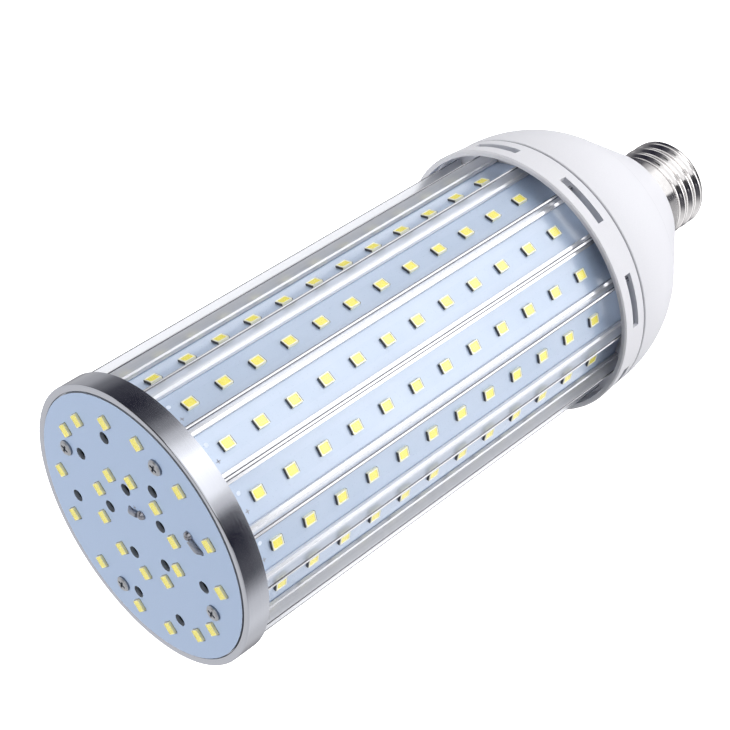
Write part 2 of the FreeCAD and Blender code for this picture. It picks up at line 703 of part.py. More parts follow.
def build():
    """All pieces of the bulb by name."""
    pieces = {
        "heat_sink": heat_sink(),
        "head_ring": head_ring(),
        "head_board": head_board(),
        "head_leds": head_leds(),
        "head_screws": head_screws(),
        "head_solder": head_solder(),
        "head_lead_positive": head_lead(PLUS_HOLE, PLUS_PAD),
        "head_lead_negative": head_lead(MINUS_HOLE, MINUS_PAD),
        "base_collar": base_collar(),
        "base_bowl": base_bowl(),
        "collar_screws": collar_screws(),
        "screw_shell": screw_shell(),
        "cap_insulator": cap_insulator(),
        "centre_contact": centre_contact(),
        "live_lead": live_lead(),
        "neutral_lead": neutral_lead(),
        "driver_board": driver_board(),
        "driver_screws": driver_screws(),
        "bulk_capacitor": capacitor(BULK_RADIUS, BULK_TALL, BULK_PLACE),
        "output_capacitor": capacitor(OUTPUT_RADIUS, OUTPUT_TALL, OUTPUT_PLACE),
        "transformer_core": transformer_core(),
        "transformer_winding": transformer_winding(),
        "bridge_rectifier": block(RECTIFIER_SIZE, RECTIFIER_PLACE, DRIVER_TOP),
        "power_switch": block(SWITCH_SIZE, SWITCH_PLACE, DRIVER_TOP),
    }
    for flat in range(SIDES):
        pieces[f"led_strip_{flat + 1:02d}"] = led_strip(flat)
        pieces[f"strip_leds_{flat + 1:02d}"] = strip_leds(flat)
    return pieces


def main():
    os.makedirs("parts", exist_ok=True)
    for name, shape in build().items():
        shape.exportStep(os.path.join("parts", name + ".step"))


main()
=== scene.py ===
"""Looks of the corn LED bulb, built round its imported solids.

Metres, in the solids' own frame: +Z runs from the screw cap to the LED head.
"""

import math

import bmesh
import bpy
from mathutils import Matrix, Vector


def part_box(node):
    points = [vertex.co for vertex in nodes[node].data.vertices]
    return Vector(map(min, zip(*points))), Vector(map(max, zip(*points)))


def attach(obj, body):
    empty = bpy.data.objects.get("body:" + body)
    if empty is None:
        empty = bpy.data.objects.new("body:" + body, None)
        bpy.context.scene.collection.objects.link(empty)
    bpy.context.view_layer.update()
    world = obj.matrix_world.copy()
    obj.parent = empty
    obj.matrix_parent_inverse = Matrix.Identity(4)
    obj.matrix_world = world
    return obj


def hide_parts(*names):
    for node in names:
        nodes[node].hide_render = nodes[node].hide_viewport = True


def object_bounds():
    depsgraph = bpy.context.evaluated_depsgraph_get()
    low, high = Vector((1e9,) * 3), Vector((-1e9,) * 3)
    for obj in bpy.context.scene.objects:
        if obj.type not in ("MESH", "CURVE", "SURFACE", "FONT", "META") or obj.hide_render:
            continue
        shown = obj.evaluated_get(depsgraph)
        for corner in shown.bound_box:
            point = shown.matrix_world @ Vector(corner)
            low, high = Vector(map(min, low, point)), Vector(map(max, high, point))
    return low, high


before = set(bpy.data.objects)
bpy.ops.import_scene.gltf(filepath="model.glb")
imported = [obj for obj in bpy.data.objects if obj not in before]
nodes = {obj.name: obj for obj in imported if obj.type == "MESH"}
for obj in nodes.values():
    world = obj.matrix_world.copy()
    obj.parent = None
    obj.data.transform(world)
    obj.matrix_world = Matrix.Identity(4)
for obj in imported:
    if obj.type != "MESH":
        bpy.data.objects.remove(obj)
cad_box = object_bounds()

MM = 0.001
BODY = "root"
UP = Vector((0.0, 0.0, 1.0))
PIECE_WELD = 0.0001 * MM
SOLID_WELD = 0.001 * MM

# Camera, as the photograph was taken
EYE = Vector((-124.76, -343.16, 337.67)) * MM
AIM = Vector((2.97, -1.11, 100.93)) * MM
ROLL = math.radians(122.99)
LENS = 85.3
SENSOR = 36.0
CLIP_START = 0.01
CLIP_END = 50.0

# Layout of the LED strips and the LED disc
SIDES = 16
DISC_TURN = math.radians(64.0)
DISC_PLUS_REACH = 6.15 * MM
DISC_PLUS_TURN = math.radians(-127.4)

# LED package
TERMINAL_LONG = 0.16 * MM
TERMINAL_INSET = 0.14 * MM
# Tall dark terminals on the strips' LEDs: real terminals, and painted shade over the packages' ends
STRIP_TERMINAL_SHADE_TALL = 0.56 * MM
DISC_TERMINAL_TALL = 0.22 * MM
LED_SHOULDER = 0.12 * MM
LED_EDGE = 0.06 * MM
STRIP_LED_RIM = 0.25 * MM
DISC_LED_RIM = 0.08 * MM
# Dark pad under each disc LED, wider than the package: a real pad, and painted contact shade along its foot
DISC_PAD_SHADE_MARGIN = 0.14 * MM
DISC_PAD_SHADE_TALL = 0.06 * MM
LED_RECESS = 0.09 * MM
LED_DOME_INSET = 0.18 * MM
LED_DOME_RISE = 0.03 * MM
LED_CORNER = 0.18 * MM
LED_KEY_CORNER = 0.55 * MM
CORNER_STEPS = 3

# Materials of an LED piece, in the order of its slots
LED_BODY, LED_WINDOW, LED_TERMINAL_AND_SHADE, LED_PRINT, LED_PAD = range(5)

# Marks on each strip, from its head end
MARK_ACROSS = 2.25 * MM
MARK_DOWN = 3.4 * MM
MARK_SIZE = 1.1 * MM
MARK_STROKE = 0.24 * MM
MARK_TALL = 0.02 * MM
MARK_ROUND = 0.98

# Head ring
RING_BORE = 31.0 * MM
RING_CROWN = 0.45 * MM
RING_CROWN_STEPS = 6
RING_SLOPE = 0.15 * MM
RING_BREAK = 0.3 * MM
RING_BREAK_STEPS = 5
RING_GAP = 0.2 * MM
RING_STEPS = 160

# Screw cap
THREAD_PITCH = 3.63 * MM
THREAD_DEPTH = 0.95 * MM
THREAD_START = 7.6 * MM
THREAD_FADE = 2.6 * MM
SHELL_ROUND = 1.6 * MM
SHELL_ROUND_STEPS = 6
SHELL_MOUTH = 8.6 * MM
SHELL_SHEET = 0.35 * MM
SHELL_STEPS = 200
SHELL_ROWS = 360
SHELL_INNER_ROWS = 60

# Solder domes
SOLDER_RADIUS = 1.25 * MM
SOLDER_LEVELS = (0, 12, 26, 42, 58, 74)
SOLDER_SLOPE = 1.4
SOLDER_STEPS = 24

# Surfaces
SHARP_EDGE = math.radians(32.0)
RELIEF_DEPTH = 0.02 * MM
GRAIN_START = 0.3
GRAIN_END = 0.7
GRAIN_DETAIL = 3.0
DRAWN_STRETCH = (1.0, 1.0, 0.01)
EXTRUDED_EDGE = 0.10 * MM
EDGE_SAMPLES = 6
GLOSS_COAT = (1.0, 0.25, 2.1)
UPRIGHT_LIMIT = 0.6
# Painted shade on the fins' crowned edges, and less on their flanks, for the dark reflections there
CROWN_MIDDLE = 0.62
CROWN_REACH = 0.3
FLANK_LIMIT = 0.32
PAINTED_FLANK_SHADE = 0.24
# Painted shade in the joint of the bowl and its collar, and less of it in the crease of the cone
SEAM_HEIGHT = 38.9 * MM
SEAM_HALF = 0.2 * MM
CREASE_HEIGHT = 17.5 * MM
CREASE_SHADE = 0.35

# Copper under the strips' solder mask
RAIL_ACROSS = 3.6 * MM
RAIL_HALF = 1.1 * MM
RAIL_TINT = 0.12
RAIL_RISE = 2.0
MASK_GRAIN = 2600.0
MASK_CLOUD = 60.0
MASK_RELIEF = 0.12

# Stage
FLOOR_SIZE = 12.0
FLOOR_GLOW = 1.45
BACKDROP_HIGH = 8.0
BACKDROP_STEPS = 64
WORLD_GLOW = 0.06
LIGHT_HEIGHT = 0.09

# Softboxes: name, azimuth and elevation in degrees, distance, size and power
SOFTBOXES = (
    ("front_softbox", -118.0, 9.0, 0.9, 0.7, 3.05),
    ("top_softbox", 20.0, 70.0, 1.1, 0.8, 10.8),
)

# Wall of the light tent
TENT_RADIUS = 0.42
TENT_LOW = -0.9
TENT_HIGH = 2.0
TENT_BROW = 0.2
TENT_GAPS = ((-46.0, -20.0), (34.0, 90.0))
TENT_SKY = 0.2
TENT_BAND = -0.045
TENT_SPLIT = -0.32
TENT_STEPS = 96
TENT_GLOW = 3.0
TENT_COOL = 0.015

# Brightness of the tent's wall, by bearing from the camera's side in degrees, as the head ring sees it
RING_TONES = (
    (-180.0, 0.15),
    (-160.0, 0.30),
    (-130.0, 0.70),
    (-110.0, 0.90),
    (-95.0, 0.80),
    (-68.0, 0.11),
    (-38.0, 0.02),
    (-26.0, 0.12),
    (-15.0, 0.82),
    (-6.0, 1.45),
    (18.0, 1.80),
    (28.0, 1.30),
    (38.0, 0.75),
    (48.0, 0.30),
    (60.0, 0.08),
    (76.0, 0.03),
    (96.0, 0.06),
    (110.0, 0.20),
    (125.0, 0.48),
    (145.0, 0.55),
    (160.0, 0.30),
    (180.0, 0.15),
)

# The same, lower on the wall, as the strips and the fins see it
STRIP_TONES = (
    (-180.0, 0.60),
    (-150.0, 0.35),
    (-132.0, 0.35),
    (-117.0, 1.10),
    (-95.0, 1.20),
    (-72.0, 1.30),
    (-50.0, 1.40),
    (-40.0, 2.30),
    (-27.0, 2.50),
    (-15.0, 2.30),
    (-10.0, 0.50),
    (0.0, 0.40),
    (6.0, 2.00),
    (17.0, 2.45),
    (29.0, 2.20),
    (40.0, 1.30),
    (62.0, 0.95),
    (85.0, 1.00),
    (107.0, 0.22),
    (140.0, 0.35),
    (180.0, 0.60),
)

# The same, lowest on the wall, as the screw cap sees it
CAP_TONES = (
    (-180.0, 0.15),
    (-140.0, 0.30),
    (-100.0, 0.55),
    (-70.0, 0.50),
    (-52.0, 0.40),
    (-42.0, 0.12),
    (-32.0, 0.12),
    (-24.0, 1.20),
    (36.0, 1.30),
    (50.0, 0.80),
    (64.0, 0.45),
    (80.0, 0.12),
    (120.0, 0.04),
    (150.0, 0.10),
    (180.0, 0.15),
)

# The same, at the top of the wall, as the disc and its screws see it
TOP_TONES = (
    (-180.0, 0.75),
    (-100.0, 0.75),
    (-80.0, 0.55),
    (-40.0, 0.55),
    (-20.0, 1.10),
    (34.0, 1.10),
    (60.0, 0.75),
    (180.0, 0.75),
)


def object_from(bm, name, materials):
    """New object of the scene, from a bmesh."""
    mesh = bpy.data.meshes.new(name)
    bm.to_mesh(mesh)
    bm.free()
    for item in materials:
        mesh.materials.append(item)
    made = bpy.data.objects.new(name, mesh)
    bpy.context.scene.collection.objects.link(made)
    return made


def piece_from(bm, name, materials, slot, *replaced):
    """Piece of the bulb from a bmesh, seated on the solids' body."""
    bmesh.ops.remove_doubles(bm, verts=bm.verts, dist=PIECE_WELD)
    bmesh.ops.recalc_face_normals(bm, faces=bm.faces)
    piece = object_from(bm, name, materials)
    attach(piece, BODY)
    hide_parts(*replaced)
    return piece


def stage_from(bm, name, made, *unseen):
    """Piece of the stage from a bmesh, unseen by some kinds of rays."""
    piece = object_from(bm, name, (made,))
    for rays in unseen:
        setattr(piece, f"visible_{rays}", False)
    return piece


def bridge(bm, loops, material=0, smooth=False):
    """Closed bands between vertex loops of the same length."""
    for lower, upper in zip(loops, loops[1:]):
        count = len(lower)
        for index in range(count):
            after = (index + 1) % count
            face = bm.faces.new((lower[index], lower[after], upper[after], upper[index]))
            face.material_index = material
            face.smooth = smooth


def cap(bm, loop, material=0, smooth=False):
    """Face that closes a loop."""
    face = bm.faces.new(loop)
    face.material_index = material
    face.smooth = smooth


def turns_of(steps):
    """Even turns round a circle."""
    return [2 * math.pi * step / steps for step in range(steps)]


def ring_loop(bm, radius, z, steps, x=0.0, y=0.0):
    """Round loop of vertices about an upright axis."""
    turns = turns_of(steps)
    return [bm.verts.new((x + radius * math.cos(turn), y + radius * math.sin(turn), z)) for turn in turns]


def rounded_loop(bm, place, half_x, half_y, z, corner, key_corner):
    """Rounded rectangle of vertices, with one corner of its own size."""
    loop = []
    for quarter, (sx, sy) in enumerate(((1, 1), (-1, 1), (-1, -1), (1, -1))):
        radius = corner if quarter else key_corner
        for step in range(CORNER_STEPS + 1):
            turn = math.radians(90.0 * (quarter + step / CORNER_STEPS))
            x = sx * (half_x - radius) + radius * math.cos(turn)
            y = sy * (half_y - radius) + radius * math.sin(turn)
            loop.append(bm.verts.new(place @ Vector((x, y, z))))
    return loop


def box_between(bm, place, low, high, material):
    """Plain block between two corners."""
    def square(z):
        corners = ((low[0], low[1]), (high[0], low[1]), (high[0], high[1]), (low[0], high[1]))
        return [bm.verts.new(place @ Vector((x, y, z))) for x, y in corners]
    bottom = square(low[2])
    top = square(high[2])
    bridge(bm, [bottom, top], material)
    cap(bm, bottom, material)
    cap(bm, top, material)


def lathe(bm, profile, steps, closed=True):
    """Turns a profile of (radius, z) points about the bulb's axis."""
    loops = [ring_loop(bm, radius, z, steps) for radius, z in profile]
    if closed:
        loops.append(loops[0])
    bridge(bm, loops, smooth=True)


def arc(centre, radius, start, end, steps):
    """Points of a profile's arc, from one angle to another in degrees."""
    points = []
    for step in range(steps + 1):
        turn = math.radians(start + (end - start) * step / steps)
        points.append((centre[0] + radius * math.cos(turn), centre[1] + radius * math.sin(turn)))
    return points


def heights(start, end, count):
    """Even heights from one to another."""
    return [start + (end - start) * row / count for row in range(count + 1)]


def keep_sharp_edges(piece):
    """Smooth shading that keeps real edges sharp."""
    for polygon in piece.data.polygons:
        polygon.use_smooth = True
    piece.data.set_sharp_from_angle(angle=SHARP_EDGE)


def solids_of(node):
    """Vertex clouds of a node's separate solids, in the order of their first vertices."""
    bm = bmesh.new()
    bm.from_mesh(nodes[node].data)
    bmesh.ops.remove_doubles(bm, verts=bm.verts, dist=SOLID_WELD)
    waiting = set(bm.verts)
    clouds = []
    for first in bm.verts:
        if first not in waiting:
            continue
        waiting.remove(first)
        front = [first]
        cloud = []
        while front:
            vert = front.pop()
            cloud.append(vert.co.copy())
            near = {edge.other_vert(vert) for edge in vert.link_edges} & waiting
            waiting -= near
            front += near
        clouds.append(cloud)
    bm.free()
    return clouds


def seat_of(cloud, axes):
    """Place of a block's foot along its own axes, and the block's size."""
    along = [[axis.dot(point) for point in cloud] for axis in axes]
    low = [min(values) for values in along]
    high = [max(values) for values in along]
    size = [b - a for a, b in zip(low, high)]
    middle = [(low[0] + high[0]) / 2, (low[1] + high[1]) / 2, low[2]]
    foot = sum((axis * value for axis, value in zip(axes, middle)), Vector())
    place = Matrix.Translation(foot) @ Matrix(axes).transposed().to_4x4()
    return place, size


def node_tree(name):
    """New node material, with its tree and its main shader."""
    made = bpy.data.materials.new(name)
    made.use_nodes = True
    tree = made.node_tree
    return made, tree, tree.nodes["Principled BSDF"]


def linked(tree, kind, inputs=(), **settings):
    """New node with its settings, and its inputs set to values or linked to sockets."""
    node = tree.nodes.new(kind)
    for key, value in settings.items():
        setattr(node, key, value)
    for key, value in dict(inputs).items():
        if isinstance(value, bpy.types.NodeSocket):
            tree.links.new(value, node.inputs[key])
        else:
            node.inputs[key].default_value = value
    return node


def math_node(tree, operation, first, second=0.0):
    """Socket with the result of a sum on two values."""
    return linked(tree, "ShaderNodeMath", {0: first, 1: second}, operation=operation).outputs[0]


def compare(tree, value, target, reach):
    """Socket that is 1 where a value is within reach of a target."""
    inputs = {0: value, 1: target, 2: reach}
    return linked(tree, "ShaderNodeMath", inputs, operation="COMPARE").outputs[0]


def coordinates(tree, stretch=(1.0, 1.0, 1.0)):
    """Socket with the place on the bulb, stretched along its axes."""
    place = linked(tree, "ShaderNodeTexCoord").outputs["Object"]
    return linked(tree, "ShaderNodeMapping", {"Vector": place, "Scale": stretch}).outputs[0]


def drawn_along(tree):
    """Place stretched along the bulb, for drawn lines."""
    return coordinates(tree, DRAWN_STRETCH)


def place_parts(tree):
    """Sockets with the three parts of the place on the bulb."""
    place = linked(tree, "ShaderNodeTexCoord").outputs["Object"]
    return linked(tree, "ShaderNodeSeparateXYZ", {0: place}).outputs


def axis_distance(tree, x, y):
    """Socket with the distance from the bulb's axis."""
    square_x = math_node(tree, "POWER", x, 2.0)
    square_y = math_node(tree, "POWER", y, 2.0)
    return math_node(tree, "SQRT", math_node(tree, "ADD", square_x, square_y))


def turned_round(tree):
    """Distance from the axis and height, for lines left by a lathe."""
    x, y, z = place_parts(tree)
    return linked(tree, "ShaderNodeCombineXYZ", {0: axis_distance(tree, x, y), 1: z}).outputs[0]


def noise(tree, place, scale):
    """Socket with even noise."""
    inputs = {"Vector": place, "Scale": scale, "Detail": GRAIN_DETAIL}
    return linked(tree, "ShaderNodeTexNoise", inputs).outputs[0]


def ramp(tree, value, low, high):
    """Socket with a colour that runs between two colours."""
    node = linked(tree, "ShaderNodeValToRGB", {0: value})
    first, second = node.color_ramp.elements
    first.position = GRAIN_START
    first.color = (*low, 1.0)
    second.position = GRAIN_END
    second.color = (*high, 1.0)
    return node.outputs[0]


def spread(tree, value, low, high):
    """Socket with noise spread between two numbers."""
    inputs = {0: value, 1: GRAIN_START, 2: GRAIN_END, 3: low, 4: high}
    return linked(tree, "ShaderNodeMapRange", inputs).outputs[0]


def relief(tree, shader, height, strength):
    """Gives a shader fine relief from a height."""
    inputs = {"Height": height, "Strength": strength, "Distance": RELIEF_DEPTH}
    node = linked(tree, "ShaderNodeBump", inputs)
    tree.links.new(node.outputs[0], shader.inputs["Normal"])
    return node


def blend(tree, share, first, second):
    """Socket with a colour between two colours."""
    inputs = {0: share, 6: first, 7: second}
    return linked(tree, "ShaderNodeMix", inputs, data_type="RGBA").outputs[2]


def upright_faces(tree):
    """Socket that is 1 on faces that stand along the bulb's axis, and 0 on faces across it."""
    facing = linked(tree, "ShaderNodeTexCoord").outputs["Normal"]
    level = linked(tree, "ShaderNodeSeparateXYZ", {0: facing}).outputs[2]
    return math_node(tree, "LESS_THAN", math_node(tree, "ABSOLUTE", level), UPRIGHT_LIMIT)


def painted_fin_shade(tree):
    """Socket for painted shade: 1 on the crowned edges of the fins, less on their flanks and 0 on outward
    faces.
    """
    sockets = linked(tree, "ShaderNodeTexCoord").outputs
    flat = {0: sockets["Object"], 1: (1.0, 1.0, 0.0)}
    level = linked(tree, "ShaderNodeVectorMath", flat, operation="MULTIPLY")
    outward = linked(tree, "ShaderNodeVectorMath", {0: level.outputs[0]}, operation="NORMALIZE")
    facing = {0: sockets["Normal"], 1: outward.outputs[0]}
    share = linked(tree, "ShaderNodeVectorMath", facing, operation="DOT_PRODUCT").outputs["Value"]
    flank = math_node(tree, "MULTIPLY", math_node(tree, "LESS_THAN", share, FLANK_LIMIT), PAINTED_FLANK_SHADE)
    return math_node(tree, "ADD", compare(tree, share, CROWN_MIDDLE, CROWN_REACH), flank)


def painted_seam_shade(tree):
    """Socket for painted shade: 1 in the joint between the bowl and its collar, and less in the crease of
    the cone.
    """
    height = place_parts(tree)[2]
    crease = math_node(tree, "MULTIPLY", compare(tree, height, CREASE_HEIGHT, SEAM_HALF), CREASE_SHADE)
    return math_node(tree, "ADD", compare(tree, height, SEAM_HEIGHT, SEAM_HALF), crease)


def add_coat(shader, weight, roughness, index):
    """Clear layer over a material."""
    shader.inputs["Coat Weight"].default_value = weight
    shader.inputs["Coat Roughness"].default_value = roughness
    shader.inputs["Coat IOR"].default_value = index


def finish(
        name, low, high, rough, place=coordinates, metallic=0.0, scale=1500.0, bump=0.05,
        tinted=None, tint=None, coat=None, soft_edge=0.0):
    """Material with mottled colour, uneven gloss, fine relief, and a second colour where tinted."""
    made, tree, shader = node_tree(name)
    grain = noise(tree, place(tree), scale)
    colour = ramp(tree, grain, low, high)
    if tinted:
        colour = blend(tree, tinted(tree), colour, (*tint, 1.0))
    tree.links.new(colour, shader.inputs["Base Color"])
    tree.links.new(spread(tree, grain, *rough), shader.inputs["Roughness"])
    bumps = relief(tree, shader, grain, bump)
    if soft_edge:
        rounded = linked(tree, "ShaderNodeBevel", {"Radius": soft_edge}, samples=EDGE_SAMPLES)
        tree.links.new(rounded.outputs[0], bumps.inputs["Normal"])
    shader.inputs["Metallic"].default_value = metallic
    if coat:
        add_coat(shader, *coat)
    return made


def strip_mask():
    """Pale solder mask of the strips, with the faint edges of the copper under it."""
    made, tree, shader = node_tree("strip_mask")
    place = coordinates(tree)
    grain = noise(tree, place, MASK_GRAIN)
    cloud = noise(tree, place, MASK_CLOUD)
    x, y, _ = place_parts(tree)
    step = 2 * math.pi / SIDES
    wrapped = math_node(tree, "FLOORED_MODULO", math_node(tree, "ARCTAN2", y, x), step)
    turn = math_node(tree, "SUBTRACT", wrapped, step / 2)
    across = math_node(tree, "MULTIPLY", turn, axis_distance(tree, x, y))
    rail = compare(tree, math_node(tree, "ABSOLUTE", across), RAIL_ACROSS, RAIL_HALF)
    mixed = math_node(tree, "ADD", math_node(tree, "MULTIPLY", rail, RAIL_TINT), cloud)
    colour = ramp(tree, mixed, (0.39, 0.50, 0.68), (0.45, 0.555, 0.73))
    tree.links.new(colour, shader.inputs["Base Color"])
    tree.links.new(spread(tree, grain, 0.26, 0.36), shader.inputs["Roughness"])
    height = math_node(tree, "ADD", math_node(tree, "MULTIPLY", rail, RAIL_RISE), grain)
    relief(tree, shader, height, MASK_RELIEF)
    add_coat(shader, *GLOSS_COAT)
    return made


# Metals
# The fins' crowned edges and flanks are painted darker: painted shade for the dark they mirror
SINK_METAL = finish(
    "drawn_aluminium", (0.82, 0.83, 0.86), (0.88, 0.89, 0.92), (0.14, 0.20), drawn_along,
    metallic=0.6, scale=2500.0, bump=0.01, tinted=painted_fin_shade, tint=(0.16, 0.16, 0.18),
    soft_edge=EXTRUDED_EDGE)
RING_METAL = finish(
    "turned_aluminium", (0.59, 0.605, 0.655), (0.61, 0.625, 0.675), (0.12, 0.15), turned_round,
    metallic=1.0, scale=6000.0, bump=0.004)
NICKEL = finish(
    "bright_nickel", (0.76, 0.74, 0.73), (0.82, 0.80, 0.79), (0.07, 0.13),
    metallic=1.0, scale=700.0, bump=0.02)
# The screws' upright sides are painted darker: painted shade for the shaded board they mirror
STEEL = finish(
    "plated_steel", (0.46, 0.47, 0.49), (0.60, 0.61, 0.63), (0.32, 0.46),
    metallic=1.0, scale=2200.0, tinted=upright_faces, tint=(0.22, 0.24, 0.28))
SOLDER = finish(
    "bright_solder", (0.30, 0.30, 0.33), (0.46, 0.46, 0.50), (0.2, 0.36),
    metallic=1.0, scale=1600.0, bump=0.2)
CONTACT = finish(
    "tinned_brass", (0.60, 0.56, 0.48), (0.76, 0.72, 0.64), (0.2, 0.36), turned_round,
    metallic=1.0, scale=3000.0)

# LED boards and their LEDs
STRIP_MASK = strip_mask()
DISC_MASK = finish(
    "disc_mask", (0.395, 0.505, 0.70), (0.425, 0.535, 0.735), (0.3, 0.4),
    scale=2600.0, bump=0.04, tinted=upright_faces, tint=(0.42, 0.46, 0.53))
PACKAGE = finish(
    "led_package_white", (0.90, 0.88, 0.62), (0.95, 0.93, 0.72), (0.3, 0.42),
    scale=4000.0, coat=GLOSS_COAT)
DISC_PACKAGE = finish(
    "led_package_cream", (0.90, 0.83, 0.36), (0.95, 0.89, 0.48), (0.3, 0.42),
    scale=4000.0, coat=GLOSS_COAT)
PHOSPHOR = finish(
    "led_phosphor", (0.93, 0.80, 0.04), (0.97, 0.87, 0.09), (0.22, 0.34),
    scale=5000.0, bump=0.1, coat=GLOSS_COAT)
# Near-black terminals: real terminals, with painted shade of the LEDs' ends
TERMINAL_AND_SHADE = finish("led_terminal_and_shade", (0.05, 0.05, 0.055), (0.09, 0.09, 0.095), (0.35, 0.5), scale=3000.0)
# Dark grey terminals and pads of the disc's LEDs: real metal, with painted shade at their ends and round
# their feet
TINNED_AND_SHADE = finish("tinned_terminal_and_shade", (0.20, 0.20, 0.22), (0.28, 0.28, 0.30), (0.35, 0.5), scale=3000.0)
PRINT = finish("grey_print", (0.26, 0.27, 0.32), (0.34, 0.35, 0.40), (0.5, 0.6), scale=6000.0)
PAD = finish("tinned_pad", (0.66, 0.73, 0.86), (0.72, 0.78, 0.90), (0.3, 0.4), scale=6000.0)

# Base, cap and driver
# The joint with the collar and the crease of the cone are painted darker: painted shade
HOUSING = finish(
    "satin_plastic", (0.66, 0.66, 0.70), (0.69, 0.69, 0.73), (0.42, 0.52),
    scale=3500.0, bump=0.03, tinted=painted_seam_shade, tint=(0.36, 0.36, 0.40))
INSULATOR = finish("glossy_black", (0.010, 0.010, 0.012), (0.022, 0.022, 0.025), (0.08, 0.2), scale=900.0)
JACKET = finish("lead_jacket", (0.26, 0.27, 0.31), (0.36, 0.37, 0.42), (0.35, 0.5), scale=2500.0)
LAMINATE = finish("bare_laminate", (0.16, 0.10, 0.03), (0.24, 0.16, 0.05), (0.4, 0.55), scale=1800.0)
SLEEVE = finish("shrink_sleeve", (0.008, 0.010, 0.030), (0.016, 0.018, 0.050), (0.2, 0.32), scale=1200.0)
FERRITE = finish("ferrite", (0.02, 0.02, 0.022), (0.05, 0.05, 0.052), (0.45, 0.6), scale=2500.0, bump=0.2)
TAPE = finish("winding_tape", (0.55, 0.36, 0.02), (0.68, 0.46, 0.04), (0.25, 0.35), scale=900.0)
RESIN = finish("black_resin", (0.012, 0.012, 0.012), (0.03, 0.03, 0.03), (0.5, 0.65), scale=3000.0, bump=0.2)

STRIP_LED_MATERIALS = (PACKAGE, PHOSPHOR, TERMINAL_AND_SHADE, PRINT, PAD)
DISC_LED_MATERIALS = (DISC_PACKAGE, PHOSPHOR, TINNED_AND_SHADE, PRINT)

# Solids that show as they are
KEPT = {
    "heat_sink": SINK_METAL,
    "head_board": DISC_MASK,
    "head_screws": STEEL,
    "collar_screws": STEEL,
    "driver_screws": STEEL,
    "head_lead_positive": JACKET,
    "head_lead_negative": JACKET,
    "live_lead": JACKET,
    "neutral_lead": JACKET,
    "base_collar": HOUSING,
    "base_bowl": HOUSING,
    "cap_insulator": INSULATOR,
    "centre_contact": CONTACT,
    "driver_board": LAMINATE,
    "bulk_capacitor": SLEEVE,
    "output_capacitor": SLEEVE,
    "transformer_core": FERRITE,
    "transformer_winding": TAPE,
    "bridge_rectifier": RESIN,
    "power_switch": RESIN,
}


def dress_kept_nodes():
    """Gives the solids that stay their materials."""
    strips = {f"led_strip_{flat + 1:02d}": STRIP_MASK for flat in range(SIDES)}
    for name, made in {**KEPT, **strips}.items():
        for place in nodes[name].material_slots:
            place.material = made


def add_led(bm, place, size, rim_wide, terminal_tall):
    """LED package: body with a keyed rim, a recessed window and a terminal at each end; the terminals are
    real, and their dark colour is painted shade of the package's ends.
    """
    half_x = size[0] / 2 - TERMINAL_LONG
    half_y = size[1] / 2
    top = size[2]
    rim = LED_EDGE + rim_wide
    floor = top - LED_RECESS
    levels = (
        (0.0, 0.0, LED_CORNER),
        (0.0, top - LED_SHOULDER, LED_CORNER),
        (LED_EDGE, top, LED_CORNER),
        (rim, top, LED_KEY_CORNER),
        (rim + LED_EDGE, floor, LED_KEY_CORNER),
        (rim + LED_DOME_INSET, floor + LED_DOME_RISE, LED_KEY_CORNER),
    )
    loops = []
    for inset, z, key_corner in levels:
        loops.append(rounded_loop(bm, place, half_x - inset, half_y - inset, z, LED_CORNER, key_corner))
    cap(bm, loops[0], LED_BODY)
    bridge(bm, loops[:5], LED_BODY)
    bridge(bm, loops[4:], LED_WINDOW)
    cap(bm, loops[5], LED_WINDOW)
    for end in (-1, 1):
        near, far = sorted((end * half_x, end * (half_x + TERMINAL_LONG)))
        wide = half_y - TERMINAL_INSET
        box_between(bm, place, (near, -wide, 0.0), (far, wide, terminal_tall), LED_TERMINAL_AND_SHADE)


def add_plus(bm, place):
    """Printed plus sign."""
    half = MARK_SIZE / 2
    stroke = MARK_STROKE / 2
    box_between(bm, place, (-half, -stroke, 0.0), (half, stroke, MARK_TALL), LED_PRINT)
    box_between(bm, place, (-stroke, -half, 0.0), (stroke, half, MARK_TALL), LED_PRINT)


def add_marks(bm, place, head_end):
    """Plus sign and a bare test pad near the head end of a strip."""
    down = head_end - MARK_DOWN
    half = MARK_SIZE / 2
    corner = half * MARK_ROUND
    add_plus(bm, place @ Matrix.Translation((down, MARK_ACROSS, 0.0)))
    pad = place @ Matrix.Translation((down, -MARK_ACROSS, 0.0))
    loops = [rounded_loop(bm, pad, half, half, z, corner, corner) for z in (0.0, MARK_TALL)]
    bridge(bm, loops, LED_PAD)
    cap(bm, loops[1], LED_PAD)
    cap(bm, loops[0], LED_PAD)


def build_strip_leds():
    """Row of LED packages and the marks on each strip."""
    for flat in range(SIDES):
        turn = (flat + 0.5) * 2 * math.pi / SIDES
        out = Vector((math.cos(turn), math.sin(turn), 0.0))
        axes = (UP, out.cross(UP), out)
        name = f"strip_leds_{flat + 1:02d}"
        bm = bmesh.new()
        for cloud in solids_of(name):
            place, size = seat_of(cloud, axes)
            add_led(bm, place, size, STRIP_LED_RIM, STRIP_TERMINAL_SHADE_TALL)
        board, board_size = seat_of(solids_of(f"led_strip_{flat + 1:02d}")[0], axes)
        add_marks(bm, board @ Matrix.Translation((0.0, 0.0, board_size[2])), board_size[0] / 2)
        piece_from(bm, f"led_row_{flat + 1:02d}", STRIP_LED_MATERIALS, "led_package", name)


